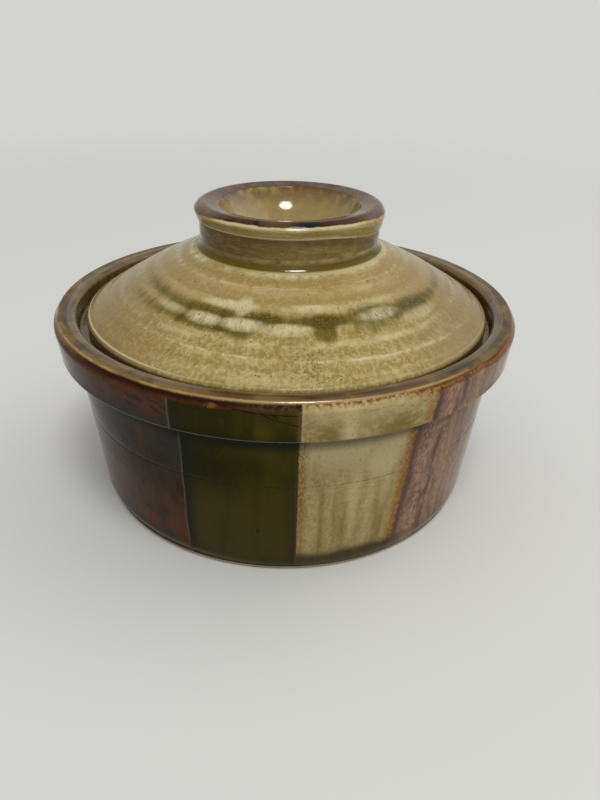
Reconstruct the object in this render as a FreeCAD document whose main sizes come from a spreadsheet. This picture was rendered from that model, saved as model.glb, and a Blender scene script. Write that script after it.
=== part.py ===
import FreeCAD, Part
import os
import Sketcher

# Stoneware bean pot with a loose lid, turned about Z. The origin is the middle of the foot
# ring, on the table, and +Z is up. Every length is in millimetres.

SIZES = {
    # outside of the thrown pot
    "foot_radius": 68.7,
    "heel_radius": 70.9,
    "heel_height": 5.0,
    "wall_top_radius": 76.2,
    "collar_bottom_height": 56.0,
    "collar_radius": 80.8,
    "rim_radius": 82.5,
    "pot_height": 69.6,
    # inside of the thrown pot
    "rim_width": 8.4,
    "gallery_depth": 6.9,
    "gallery_width": 7.8,
    "throat_depth": 5.0,
    "throat_flare": 8.0,
    "wall_thickness": 6.2,
    "floor_height": 8.2,
    "floor_corner_round": 12.0,
    # turned foot
    "foot_ring_width": 9.0,
    "foot_recess": 2.6,
    # rounded edges of the pot
    "rim_outer_round": 3.0,
    "rim_inner_round": 2.2,
    "collar_edge_round": 1.0,
    "collar_root_round": 1.4,
    "heel_round": 6.0,
    "foot_edge_round": 0.7,
    "gallery_root_round": 1.0,
    "throat_edge_round": 1.4,
    # fit of the lid in the gallery
    "lid_side_clearance": 2.7,
    "lid_seat_clearance": 0.3,
    # thrown lid
    "lid_edge_thickness": 4.6,
    "lid_edge_round": 1.9,
    "lid_seat_width": 5.4,
    "lid_thickness": 5.6,
    "dome_rise": 21.4,
    "dome_crown": 1.1,
    "throwing_ring_count": 7,
    "throwing_ring_relief": 0.35,
    "hollow_flat_inset": 3.4,
    "hollow_round": 12.0,
    # knob, a small thrown cup stuck on the flat top of the dome
    "knob_waist_radius": 31.0,
    "knob_seat_margin": 0.9,
    "knob_step_height": 10.0,
    "knob_step_depth": 0.6,
    "knob_band_slope": 0.9,
    "knob_band_height": 3.0,
    "knob_radius": 33.0,
    "knob_crest_inset": 3.9,
    "knob_crest_rise": 2.2,
    "knob_crest_arc": 4.0,
    "knob_rim_width": 9.0,
    "knob_lip_drop": 0.9,
    "knob_lip_arc": 9.0,
    "knob_cup_depth": 11.8,
    "knob_cup_floor_radius": 14.6,
    "knob_cup_arc": 25.0,
}

doc = FreeCAD.newDocument("bean_pot")
sheet = doc.addObject("Spreadsheet::Sheet", "Sizes")
for row, (alias, value) in enumerate(SIZES.items(), start=1):
    sheet.set(f"A{row}", str(value))
    sheet.setAlias(f"A{row}", alias)
doc.recompute()


def sized(words):
    """An expression with each size read from the sheet; spaces stand between its words."""
    return " ".join("Sizes." + word if word in SIZES else word for word in words.split())


def number(words):
    return float(sheet.evalExpression(words))


# Heights and radii that follow from the sizes and that more than one piece shares.
GALLERY_RADIUS = "( rim_radius - rim_width )"
LEDGE_HEIGHT = "( pot_height - gallery_depth )"
THROAT_RADIUS = f"( {GALLERY_RADIUS} - gallery_width )"
LID_RADIUS = f"( {GALLERY_RADIUS} - lid_side_clearance )"
LID_SEAT_HEIGHT = f"( {LEDGE_HEIGHT} + lid_seat_clearance )"
LID_EDGE_HEIGHT = f"( {LID_SEAT_HEIGHT} + lid_edge_thickness )"
DOME_TOP_HEIGHT = f"( {LID_EDGE_HEIGHT} + dome_rise )"
DOME_TOP_RADIUS = "( knob_waist_radius + knob_seat_margin )"


class Corner:
    """A corner of a turned outline, with the size that rounds it and the arc that leaves it."""

    def __init__(self, radius, height, rounding=None, arc=None, bulge=0):
        self.radius = radius
        self.height = height
        self.rounding = rounding
        self.arc = arc
        self.bulge = bulge

    def point(self):
        return FreeCAD.Vector(number(self.radius), number(self.height), 0)


OUT = -1
IN = 1


def arc_between(start, end, radius, bulge):
    """A circular arc that bows to the left of its travel (IN) or to the right (OUT)."""
    chord = end - start
    left = FreeCAD.Vector(-chord.y, chord.x, 0).normalize()
    reach = (radius ** 2 - (chord.Length / 2) ** 2) ** 0.5
    centre = (start + end) / 2 - left * (reach * bulge)
    middle = centre + left * (radius * bulge)
    return Part.Arc(start, middle, end)


def flat_arc(start, end, rise):
    """The radius, in words, of the shallow arc between two corners that rises by a size."""
    across = f"( {start.radius} - ( {end.radius} ) )"
    along = f"( {start.height} - ( {end.height} ) )"
    return f"( {across} ^ 2 + {along} ^ 2 ) / ( 8 * {rise} ) + {rise} / 2"


def outline_sketch(body, corners):
    """A closed outline on the body's XZ plane, with every corner tied to the sheet."""
    sketch = body.newObject("Sketcher::SketchObject", body.Name + "_outline")
    plane = next(f for f in body.Origin.OriginFeatures if f.Role == "XZ_Plane")
    sketch.AttachmentSupport = [(plane, "")]
    sketch.MapMode = "FlatFace"
    points = [corner.point() for corner in corners]
    ends = []
    for index, corner in enumerate(corners):
        start = points[index]
        end = points[(index + 1) % len(points)]
        if corner.arc is None:
            sketch.addGeometry(Part.LineSegment(start, end))
            ends.append((1, 2))
            continue
        arc = arc_between(start, end, number(corner.arc), corner.bulge)
        turns_left = corner.bulge == OUT
        sketch.addGeometry(arc)
        ends.append((1, 2) if turns_left else (2, 1))
    for index in range(len(corners)):
        before = (index - 1) % len(corners)
        join = Sketcher.Constraint("Coincident", before, ends[before][1], index, ends[index][0])
        sketch.addConstraint(join)
    for index, corner in enumerate(corners):
        place(sketch, index, ends[index][0], corner)
        if corner.arc is not None:
            rounding = Sketcher.Constraint("Radius", index, number(corner.arc))
            bind(sketch, sketch.addConstraint(rounding), corner.arc)
    return sketch


def bind(sketch, constraint, words):
    sketch.setExpression(f"Constraints[{constraint}]", sized(words))


def place(sketch, edge, end, corner):
    """Fix one end of an edge: on an axis where the corner lies there, by a size elsewhere."""
    origin_and_end = (-1, 1, edge, end)
    point = corner.point()
    if corner.radius == "0":
        sketch.addConstraint(Sketcher.Constraint("PointOnObject", edge, end, -2))
    else:
        across = Sketcher.Constraint("DistanceX", *origin_and_end, point.x)
        bind(sketch, sketch.addConstraint(across), corner.radius)
    if corner.height == "0":
        sketch.addConstraint(Sketcher.Constraint("PointOnObject", edge, end, -1))
    else:
        above = Sketcher.Constraint("DistanceY", *origin_and_end, point.y)
        bind(sketch, sketch.addConstraint(above), corner.height)


def circle_at(shape, point):
    """The name of the circular edge that a corner of the outline makes."""
    for index, edge in enumerate(shape.Edges, start=1):
        curve = edge.Curve
        if isinstance(curve, Part.Circle):
            same_radius = abs(curve.Radius - point.x) < 1e-4
            if same_radius and abs(curve.Center.z - point.y) < 1e-4:
                return f"Edge{index}"
    raise ValueError(f"no edge at radius {point.x} and height {point.y}")


def turned_body(label, corners):
    """A body turned from its outline about Z, with its marked corners rounded."""
    body = doc.addObject("PartDesign::Body", label)
    body.Label = label
    sketch = outline_sketch(body, corners)
    turning = body.newObject("PartDesign::Revolution", label + "_turning")
    turning.Profile = sketch
    turning.ReferenceAxis = (sketch, ["V_Axis"])
    turning.Angle = 360
    sketch.Visibility = False
    doc.recompute()
    for corner in corners:
        if corner.rounding is None:
            continue
        rounded = body.Tip
        fillet = body.newObject("PartDesign::Fillet", label + "_" + corner.rounding)
        fillet.Base = (rounded, [circle_at(rounded.Shape, corner.point())])
        fillet.setExpression("Radius", sized(corner.rounding))
        doc.recompute()
    body.Placement = FreeCAD.Placement()
    return body


def make_pot_body():
    """The vessel: turned foot, flared wall, heavy collar, and a gallery inside the rim."""
    inner_foot_radius = "foot_radius - foot_ring_width"
    inner_wall_top = "wall_top_radius - wall_thickness"
    throat_bottom = f"{LEDGE_HEIGHT} - throat_depth"
    corners = [
        Corner("foot_radius", "0", "foot_edge_round"),
        Corner("heel_radius", "heel_height", "heel_round"),
        Corner("wall_top_radius", "collar_bottom_height", "collar_root_round"),
        Corner("collar_radius", "collar_bottom_height", "collar_edge_round"),
        Corner("rim_radius", "pot_height", "rim_outer_round"),
        Corner(GALLERY_RADIUS, "pot_height", "rim_inner_round"),
        Corner(GALLERY_RADIUS, LEDGE_HEIGHT, "gallery_root_round"),
        Corner(THROAT_RADIUS, LEDGE_HEIGHT, "throat_edge_round"),
        Corner(THROAT_RADIUS, throat_bottom),
        Corner(inner_wall_top, f"{throat_bottom} - throat_flare"),
        Corner("heel_radius - wall_thickness", "floor_height", "floor_corner_round"),
        Corner("0", "floor_height"),
        Corner("0", "foot_recess"),
        Corner(inner_foot_radius, "foot_recess"),
        Corner(inner_foot_radius, "0", "foot_edge_round"),
    ]
    return turned_body("pot_body", corners)


def make_lid_dome():
    """The lid: a low dome with throwing rings, hollow below, that sits on the gallery's ledge."""
    corners = [
        Corner(f"{LID_RADIUS} - lid_seat_width", LID_SEAT_HEIGHT),
        Corner(LID_RADIUS, LID_SEAT_HEIGHT, "lid_edge_round"),
    ]
    rings = []
    count = int(number("throwing_ring_count"))
    for ring in range(count + 1):
        share = f"( {ring} / throwing_ring_count )"
        radius = f"{LID_RADIUS} - ( {LID_RADIUS} - {DOME_TOP_RADIUS} ) * {share}"
        crown = f"4 * dome_crown * {share} * ( 1 - {share} )"
        rings.append(Corner(radius, f"{LID_EDGE_HEIGHT} + dome_rise * {share} + {crown}"))
    for lower, upper in zip(rings, rings[1:]):
        lower.arc = flat_arc(lower, upper, "throwing_ring_relief")
        lower.bulge = OUT
    rings[0].rounding = "lid_edge_round"
    underside = f"{DOME_TOP_HEIGHT} - lid_thickness"
    corners += rings
    corners += [
        Corner("0", DOME_TOP_HEIGHT),
        Corner("0", underside),
        Corner(f"{DOME_TOP_RADIUS} - hollow_flat_inset", underside, "hollow_round"),
    ]
    return turned_body("lid_dome", corners)


def make_lid_knob():
    """The knob: a small round cup with a stepped side and a broad rounded rim."""
    step = f"{DOME_TOP_HEIGHT} + knob_step_height"
    band_top = f"{step} + knob_band_height"
    crest = f"{band_top} + knob_crest_rise"
    lip = f"{crest} - knob_lip_drop"
    cup_floor = f"{lip} - knob_cup_depth"
    band_bottom_radius = "knob_radius - knob_band_slope"
    corners = [
        Corner("0", DOME_TOP_HEIGHT),
        Corner("knob_waist_radius", DOME_TOP_HEIGHT),
        Corner(f"{band_bottom_radius} - knob_step_depth", step),
        Corner(band_bottom_radius, step),
        Corner("knob_radius", band_top, arc="knob_crest_arc", bulge=OUT),
        Corner("knob_radius - knob_crest_inset", crest, arc="knob_lip_arc", bulge=OUT),
        Corner("knob_radius - knob_rim_width", lip, arc="knob_cup_arc", bulge=IN),
        Corner("knob_cup_floor_radius", cup_floor),
        Corner("0", cup_floor),
    ]
    return turned_body("lid_knob", corners)


pieces = [make_pot_body(), make_lid_dome(), make_lid_knob()]
doc.recompute()

for item in doc.Objects:
    if "Invalid" in item.State or "Error" in item.State:
        raise RuntimeError(f"{item.Name} did not build: {item.State}")
for piece in pieces:
    if piece.Shape.isNull() or not piece.Shape.isValid():
        raise RuntimeError(f"{piece.Label} has no sound shape")
    if len(piece.Shape.Solids) != 1:
        raise RuntimeError(f"{piece.Label} is not one solid")

os.makedirs("parts", exist_ok=True)
for piece in pieces:
    piece.Shape.exportStep(f"parts/{piece.Label}.step")
    box = piece.Shape.BoundBox
    print(piece.Label, "volume", round(piece.Shape.Volume), "mm3, heights", box.ZMin, box.ZMax)
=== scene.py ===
import math

import bmesh
import bpy
import numpy as np
from mathutils import Matrix, Vector


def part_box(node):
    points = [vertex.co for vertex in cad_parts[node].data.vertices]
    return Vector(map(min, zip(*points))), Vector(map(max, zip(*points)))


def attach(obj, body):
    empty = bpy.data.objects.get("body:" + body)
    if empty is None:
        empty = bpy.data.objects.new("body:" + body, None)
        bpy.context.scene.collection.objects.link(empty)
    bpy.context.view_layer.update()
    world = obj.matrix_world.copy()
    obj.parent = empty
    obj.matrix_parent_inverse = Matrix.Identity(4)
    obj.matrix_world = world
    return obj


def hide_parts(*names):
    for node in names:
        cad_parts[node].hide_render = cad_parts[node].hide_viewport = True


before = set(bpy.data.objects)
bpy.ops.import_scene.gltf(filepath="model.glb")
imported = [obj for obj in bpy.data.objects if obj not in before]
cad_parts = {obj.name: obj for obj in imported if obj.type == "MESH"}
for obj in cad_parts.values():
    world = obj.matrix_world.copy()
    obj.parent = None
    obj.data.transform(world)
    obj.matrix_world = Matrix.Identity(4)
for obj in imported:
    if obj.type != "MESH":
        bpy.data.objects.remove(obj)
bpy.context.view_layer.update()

# The pot body
# One piece of thrown stoneware: foot ring, tapered wall, heavy collar, and a gallery inside the
# rim for the lid. Four glazes are poured over it in upright panels, twice round the pot, and the
# rim is dipped in an iron glaze. The foot is wiped bare and the inside is glazed straw.

# Lengths are in millimetres. Degree 0 faces the front and degrees grow to the right.
MM = 0.001
COLUMNS = 540
DEGREES = (np.arange(COLUMNS) * 360 / COLUMNS - 180)[None, :]
pot_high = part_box("pot_body")[1]
RIM_TOP = pot_high.z / MM
RIM_RADIUS = 82.5
RIM_EDGE_RADIUS = 80.25
COLLAR_RADIUS = 80.8
COLLAR_BOTTOM = 56.0
WALL_TOP_RADIUS = 76.2
HEEL_RADIUS = 70.9
HEEL_HEIGHT = 5.0
FOOT_RADIUS = 68.7
FOOT_RING_WIDTH = 9.0
FOOT_RECESS = 2.6
GALLERY_RADIUS = 74.1
LEDGE_HEIGHT = 62.7
THROAT_RADIUS = 66.3
THROAT_BOTTOM = 57.7
INNER_WALL_TOP = 49.7
WALL_THICKNESS = 6.2
FLOOR_HEIGHT = 8.2
GLAZE_STOP = 1.3
SCORED_LINE = 36.6


def rounded_outline(corners):
    """Points along a turned outline. A corner is (radius, height, rounding, spacing after it)."""
    places = [np.array(corner[:2], float) for corner in corners]
    runs = []
    for index, (place, corner) in enumerate(zip(places, corners)):
        rounding = corner[2]
        if rounding == 0:
            runs.append([place])
            continue
        back = places[index - 1] - place
        ahead = places[index + 1] - place
        back /= np.linalg.norm(back)
        ahead /= np.linalg.norm(ahead)
        half = math.acos(np.clip(back @ ahead, -1, 1)) / 2
        middle = place + (back + ahead) / np.linalg.norm(back + ahead) * rounding / math.sin(half)
        start = place + back * rounding / math.tan(half)
        end = place + ahead * rounding / math.tan(half)
        steps = max(4, int(rounding * (math.pi - 2 * half) / 0.35))
        arc = []
        for share in np.linspace(0, 1, steps + 1):
            spoke = (start - middle) * (1 - share) + (end - middle) * share
            arc.append(middle + spoke / np.linalg.norm(spoke) * rounding)
        runs.append(arc)
    points = []
    for index, run in enumerate(runs):
        points += run
        if index + 1 < len(runs):
            gap = runs[index + 1][0] - run[-1]
            parts = max(1, round(np.linalg.norm(gap) / corners[index][3]))
            points += [run[-1] + gap * part / parts for part in range(1, parts)]
    return np.array(points)


def turned_piece(name, points, lift, middle=(0.0, 0.0), shift_up=0.0):
    """A closed mesh turned from an outline that runs up the outside, raised by lift."""
    along = np.gradient(points, axis=0)
    out = np.stack([along[:, 1], -along[:, 0]], axis=1)
    out /= np.maximum(np.linalg.norm(out, axis=1, keepdims=True), 1e-9)
    radius = points[:, 0, None] + out[:, 0, None] * lift
    height = points[:, 1, None] + out[:, 1, None] * lift + shift_up
    radius = np.where(points[:, 0, None] < 1e-6, 0, radius)
    turn = np.radians(DEGREES)
    across = radius * np.sin(turn) + middle[0]
    deep = -radius * np.cos(turn) + middle[1]
    places = np.stack([across, deep, height], axis=-1).reshape(-1, 3) * MM
    work = bmesh.new()
    spots = [work.verts.new(place) for place in places]
    for row in range(len(points) - 1):
        for column in range(COLUMNS):
            beside = (column + 1) % COLUMNS
            low, high = row * COLUMNS, (row + 1) * COLUMNS
            corners = (low + column, low + beside, high + beside, high + column)
            work.faces.new([spots[corner] for corner in corners]).smooth = True
    bmesh.ops.remove_doubles(work, verts=work.verts, dist=0.00001)
    bmesh.ops.recalc_face_normals(work, faces=work.faces)
    mesh = bpy.data.meshes.new(name)
    work.to_mesh(mesh)
    work.free()
    piece = bpy.data.objects.new(name, mesh)
    bpy.context.scene.collection.objects.link(piece)
    return piece


def hand_wave(seed, lengths, height):
    """A slow uneven swell round and up a thrown piece, from -1 to 1."""
    draw = np.random.default_rng(seed)
    total = 0
    for length in lengths:
        turns = draw.integers(1, 5)
        phase = draw.uniform(0, 2 * math.pi)
        total = total + np.sin(np.radians(DEGREES) * turns + phase + height * 2 * math.pi / length)
    return total / len(lengths)


def rise(value, centre, width):
    """A smooth hump: 1 at the centre, and 0 from a width away."""
    near = np.clip(1 - np.abs(value - centre) / width, 0, 1)
    return near * near * (3 - 2 * near)


outside = rounded_outline([
    (0, FOOT_RECESS, 0, 4.0),
    (FOOT_RADIUS - FOOT_RING_WIDTH, FOOT_RECESS, 1.2, 1.0),
    (FOOT_RADIUS - FOOT_RING_WIDTH, 0, 0.7, 1.2),
    (FOOT_RADIUS, 0, 0.7, 0.35),
    (HEEL_RADIUS, HEEL_HEIGHT, 6.0, 0.45),
    (WALL_TOP_RADIUS, COLLAR_BOTTOM, 2.2, 0.6),
    (COLLAR_RADIUS, COLLAR_BOTTOM, 1.5, 0.5),
    (RIM_RADIUS - 0.3, RIM_TOP - 2.4, 2.4, 0.3),
    (RIM_EDGE_RADIUS, RIM_TOP, 0.8, 0.4),
    (GALLERY_RADIUS, RIM_TOP, 0, 0.6),
])
inside = rounded_outline([
    (RIM_EDGE_RADIUS, RIM_TOP, 0, 0.6),
    (GALLERY_RADIUS, RIM_TOP, 2.2, 0.7),
    (GALLERY_RADIUS, LEDGE_HEIGHT, 1.0, 1.0),
    (THROAT_RADIUS, LEDGE_HEIGHT, 1.4, 1.2),
    (THROAT_RADIUS, THROAT_BOTTOM, 3.0, 1.2),
    (WALL_TOP_RADIUS - WALL_THICKNESS, INNER_WALL_TOP, 5.0, 1.5),
    (HEEL_RADIUS - WALL_THICKNESS, FLOOR_HEIGHT, 12.0, 1.8),
    (0, FLOOR_HEIGHT, 0, 3.0),
])
rim_middle = (RIM_EDGE_RADIUS + GALLERY_RADIUS) / 2
outside = outside[~((outside[:, 1] > RIM_TOP - 0.01) & (outside[:, 0] < rim_middle))]
inside = inside[~((inside[:, 1] > RIM_TOP - 0.01) & (inside[:, 0] > rim_middle))]

# The swell of the thrown wall, its turning lines, the scored line and the rolls of thick glaze.
height = outside[:, 1, None]
radius = outside[:, 0, None]
on_wall = np.clip((height - 2) / 4, 0, 1) * np.clip((COLLAR_BOTTOM - 1 - height) / 3, 0, 1)
glazed = np.clip((height - GLAZE_STOP) / 0.5, 0, 1) * (radius > FOOT_RADIUS - 0.4)
swell = -0.28 + 0.22 * hand_wave(3, (90, 140, 210), height)
turning = 0.015 * hand_wave(5, (3.1, 4.3, 5.9, 2.3), height) + 0.05 * hand_wave(6, (13, 19), height)
line_wander = 0.35 * np.sin(np.radians(DEGREES) * 2 + 1)
scored = -0.16 * rise(height + line_wander, SCORED_LINE, 0.6)
foot_roll = 0.10 * rise(height, 3.0, 2.6) * (1 + 0.5 * hand_wave(8, (60,), height))
edge_bead = 0.10 * rise(height, COLLAR_BOTTOM + 1.2, 1.5) * (radius > COLLAR_RADIUS - 0.9)
standing = np.clip((radius - (FOOT_RADIUS - 2)) / 2, 0, 1)
on_rim = np.clip((height - RIM_TOP + 1.5) / 1.5, 0, 1)
outer_lift = standing * (swell * (1 - on_rim) + (turning + scored) * on_wall + foot_roll + edge_bead)
outer_lift = outer_lift * glazed + on_rim * (-0.08 + 0.08 * hand_wave(9, (400, 300), height))
height = inside[:, 1, None]
inner_lift = 0.12 * hand_wave(11, (7.5, 9.0), height) * np.clip((LEDGE_HEIGHT - 4 - height) / 6, 0, 1)
on_rim = np.clip((height - RIM_TOP + 1.5) / 1.5, 0, 1)
inner_lift = inner_lift + on_rim * (-0.08 + 0.08 * hand_wave(9, (400, 300), height))
pot = turned_piece("stoneware_pot", np.vstack([outside, inside]), np.vstack([outer_lift, inner_lift]))


class Field:
    """A number that changes over a surface. Plain arithmetic on fields adds the nodes for it."""

    def __init__(self, tree, socket):
        self.tree = tree
        self.socket = socket

    def worked(self, operation, *others):
        node = self.tree.nodes.new("ShaderNodeMath")
        node.operation = operation
        for place, value in enumerate((self, *others)):
            feed(self.tree, node.inputs[place], value)
        return Field(self.tree, node.outputs[0])

    def __add__(self, other):
        return self.worked("ADD", other)

    def __sub__(self, other):
        return self.worked("SUBTRACT", other)

    def __rsub__(self, other):
        return (self * -1) + other

    def __mul__(self, other):
        return self.worked("MULTIPLY", other)

    __radd__ = __add__
    __rmul__ = __mul__

    def wrapped(self, whole):
        """What is left over after whole turns of the given length."""
        return self.worked("FLOORED_MODULO", whole)

    def over(self, start, end):
        """0 up to the start and 1 from the end, with a smooth slope between; it may run down."""
        node = self.tree.nodes.new("ShaderNodeMapRange")
        node.interpolation_type = "SMOOTHSTEP"
        for name, value in (("Value", self), ("From Min", start), ("From Max", end)):
            feed(self.tree, node.inputs[name], value)
        return Field(self.tree, node.outputs[0])

    def near(self, centre, width):
        """A smooth hump: 1 at the centre, and 0 from a width away."""
        return (self - centre).worked("ABSOLUTE").over(width, 0)


def feed(tree, socket, value):
    """Link a field to a socket, or set the socket to a number or a colour."""
    if isinstance(value, Field):
        tree.links.new(value.socket, socket)
    elif isinstance(value, tuple):
        socket.default_value = (*value, 1.0)
    else:
        socket.default_value = value


class Finish:
    """A material for a turned piece, which knows the place of each point on it."""

    def __init__(self, name, middle=(0.0, 0.0), running="height"):
        self.material = bpy.data.materials.new(name)
        self.material.use_nodes = True
        self.tree = self.material.node_tree
        self.shader = self.tree.nodes["Principled BSDF"]
        place = self.tree.nodes.new("ShaderNodeTexCoord")
        split = self.tree.nodes.new("ShaderNodeSeparateXYZ")
        self.tree.links.new(place.outputs["Object"], split.inputs[0])
        across, deep, up = (Field(self.tree, out) * (1 / MM) for out in split.outputs)
        self.across = across - middle[0]
        self.deep = deep - middle[1]
        self.height = up
        square = self.across * self.across + self.deep * self.deep
        self.radius = square.worked("SQRT")
        self.angle = self.across.worked("ARCTAN2", self.deep * -1) * (180 / math.pi)
        self.run = getattr(self, running)

    def joined(self, across, deep, up):
        node = self.tree.nodes.new("ShaderNodeCombineXYZ")
        for socket, value in zip(node.inputs, (across, deep, up)):
            feed(self.tree, socket, value)
        return node.outputs[0]

    def cloud(self, size, tall=1.0, detail=2.0, shift=0.0):
        """Cloudy noise about 0.5 whose patches are size across, and tall times as high."""
        place = self.joined(self.across + shift, self.deep, self.height * (1 / tall))
        return self.noise(place, size, detail)

    def runs(self, width, length, detail=2.0, shift=0.0):
        """Noise in streaks that run down the piece: width is in degrees and length along it."""
        ray = self.tree.nodes.new("ShaderNodeVectorMath")
        ray.operation = "NORMALIZE"
        self.tree.links.new(self.joined(self.across, self.deep, 0.0), ray.inputs[0])
        split = self.tree.nodes.new("ShaderNodeSeparateXYZ")
        self.tree.links.new(ray.outputs[0], split.inputs[0])
        wide = 180 / math.pi / width
        across = Field(self.tree, split.outputs[0]) * wide + shift
        deep = Field(self.tree, split.outputs[1]) * wide
        return self.noise(self.joined(across, deep, self.run * (1 / length)), 1.0, detail)

    def noise(self, place, size, detail):
        node = self.tree.nodes.new("ShaderNodeTexNoise")
        self.tree.links.new(place, node.inputs["Vector"])
        node.inputs["Scale"].default_value = 1 / size
        node.inputs["Detail"].default_value = detail
        return Field(self.tree, node.outputs[0])

    def specks(self, spacing, size, share, shift=0.0, tall=1.0):
        """Small round marks: one in each cell of the spacing, and only in a share of the cells."""
        place = self.joined(self.across + shift, self.deep, self.height * (1 / tall))
        node = self.tree.nodes.new("ShaderNodeTexVoronoi")
        self.tree.links.new(place, node.inputs["Vector"])
        node.inputs["Scale"].default_value = 1 / spacing
        chance = self.tree.nodes.new("ShaderNodeSeparateColor")
        self.tree.links.new(node.outputs["Color"], chance.inputs[0])
        distance = Field(self.tree, node.outputs["Distance"]) * spacing
        reach = Field(self.tree, chance.outputs[1]) * (size * 0.7) + size * 0.3
        chosen = Field(self.tree, chance.outputs[0]).worked("LESS_THAN", share)
        return distance.over(reach, reach * 0.5) * chosen

    def mark(self, angle, along, wide, long):
        """One soft spot at a given place; wide is in degrees and long runs down the piece."""
        across = (self.angle - angle) * (1 / wide)
        down = (self.run - along) * (1 / long)
        return (across * across + down * down).over(1, 0)

    def scratch(self, start, end, width):
        """A fine line from one place to another; a place is an angle and a height."""
        wide = math.radians(RIM_RADIUS)
        across = (self.angle - start[0]) * wide
        up = self.run - start[1]
        reach = ((end[0] - start[0]) * wide, end[1] - start[1])
        share = (across * reach[0] + up * reach[1]) * (1 / (reach[0] ** 2 + reach[1] ** 2))
        share = share.worked("MAXIMUM", 0.0).worked("MINIMUM", 1.0)
        across = across - share * reach[0]
        up = up - share * reach[1]
        distance = (across * across + up * up).worked("SQRT")
        return distance.over(width, width * 0.3)

    def tint(self, mask, under, over):
        """One colour over another where the mask is 1."""
        node = self.tree.nodes.new("ShaderNodeMix")
        node.data_type = "RGBA"
        feed(self.tree, node.inputs[0], mask)
        feed(self.tree, node.inputs[6], under)
        feed(self.tree, node.inputs[7], over)
        return Field(self.tree, node.outputs[2])

    def set(self, colour, roughness, relief, gloss):
        """Give the shader its colour, roughness and fine relief, which is in millimetres."""
        feed(self.tree, self.shader.inputs["Base Color"], colour)
        feed(self.tree, self.shader.inputs["Roughness"], roughness)
        feed(self.tree, self.shader.inputs["Specular IOR Level"], gloss)
        bump = self.tree.nodes.new("ShaderNodeBump")
        bump.inputs["Distance"].default_value = MM
        feed(self.tree, bump.inputs["Height"], relief)
        self.tree.links.new(bump.outputs[0], self.shader.inputs["Normal"])
        return self.material


# Where each glaze starts, in degrees, in the half turn that begins at the edge of the brown.
BROWN_START = -87.5
GREEN_START = 61.4
CREAM_START = 90.7
PINK_START = 117.4

BROWN = (0.046, 0.0255, 0.0155)
DARK_BROWN = (0.022, 0.013, 0.008)
RED_BROWN = (0.070, 0.026, 0.012)
SLATE_BROWN = (0.022, 0.024, 0.021)
OLIVE = (0.040, 0.032, 0.005)
DEEP_OLIVE = (0.0175, 0.014, 0.001)
BRIGHT_OLIVE = (0.056, 0.046, 0.001)
GREY_OLIVE = (0.044, 0.034, 0.011)
BLACK_OLIVE = (0.008, 0.007, 0.001)
TEAL = (0.008, 0.011, 0.007)
STRAW = (0.255, 0.198, 0.074)
PALE_STRAW = (0.42, 0.360, 0.180)
GREEN_STRAW = (0.150, 0.107, 0.021)
PINK_BROWN = (0.180, 0.107, 0.071)
PALE_PINK = (0.335, 0.207, 0.142)
PLUM_BROWN = (0.080, 0.045, 0.032)
AMBER = (0.155, 0.080, 0.014)
ORANGE = (0.215, 0.092, 0.016)
POOL = (0.030, 0.022, 0.008)
SLIP_LINE = (0.16, 0.13, 0.10)
# Pale colour for the collar's lower edge: broken glaze with painted sheen.
EDGE_BREAK_AND_SHEEN = (0.19, 0.175, 0.135)
IRON_SPECK = (0.07, 0.032, 0.012)


def brown_panel(g, fine, broad):
    slate = g.cloud(8, tall=1.4, detail=2, shift=15)
    colour = g.tint(broad.over(0.32, 0.66), DARK_BROWN, BROWN)
    colour = g.tint(g.height.over(30, 13) * slate.over(0.62, 0.42) * 0.9, colour, RED_BROWN)
    colour = g.tint(g.height.over(32, 46) * slate.over(0.40, 0.56) * 0.9, colour, SLATE_BROWN)
    colour = g.tint(g.height.over(11, 6) * slate.over(0.36, 0.5) * 0.8, colour, SLATE_BROWN)
    upper = g.height.over(59, 63) * slate.over(0.68, 0.46)
    colour = g.tint(upper * 0.7, colour, RED_BROWN)
    slant = g.noise(g.joined(g.angle * 0.55 + g.height * 0.5, g.height * 0.35, 0.0), 1.0, 3)
    dark_slant = g.height.over(59.5, 62.0) * slant.over(0.52, 0.60)
    colour = g.tint(dark_slant * 0.85, colour, DARK_BROWN)
    return g.tint(fine.over(0.5, 0.75) * 0.5, colour, RED_BROWN)


def green_panel(g, fine, broad, to_green, on_collar):
    soft = g.runs(4.0, 22, detail=2, shift=3)
    colour = g.tint(g.height.over(44, 24) * 0.85, DEEP_OLIVE, OLIVE)
    colour = g.tint(g.height.over(26, 8) * 0.6, colour, GREY_OLIVE)
    right = to_green.over(8, 21) * (broad.over(0.25, 0.70) * 0.4 + 0.1)
    colour = g.tint(right * g.height.over(16, 40), colour, BRIGHT_OLIVE)
    colour = g.tint(g.height.near(48.5, 4) * to_green.over(4, 16) * 0.25, colour, BRIGHT_OLIVE)
    colour = g.tint(on_collar * to_green.over(12, 19) * soft.over(0.62, 0.38) * 0.7, colour, BRIGHT_OLIVE)
    colour = g.tint(soft.over(0.46, 0.70) * 0.35, colour, DEEP_OLIVE)
    colour = g.tint(fine.over(0.50, 0.72) * 0.2, colour, BRIGHT_OLIVE)
    upper = g.height.near(40, 9) * to_green.over(20, 8) * 0.5
    lower_edge = on_collar * g.height.over(60.5, 57) * 0.6
    colour = g.tint(upper.worked("MAXIMUM", lower_edge) * 0.8, colour, BLACK_OLIVE)
    edge = to_green.over(4.2, 0.6) * (1 - on_collar * 0.7)
    colour = g.tint(edge * 0.9, colour, TEAL)
    colour = g.tint(to_green.over(26.4, 28.6) * 0.6, colour, BLACK_OLIVE)
    specks = g.specks(4.2, 0.6, 0.45, tall=1.4)
    return g.tint(specks * 0.9, colour, BLACK_OLIVE)


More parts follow.
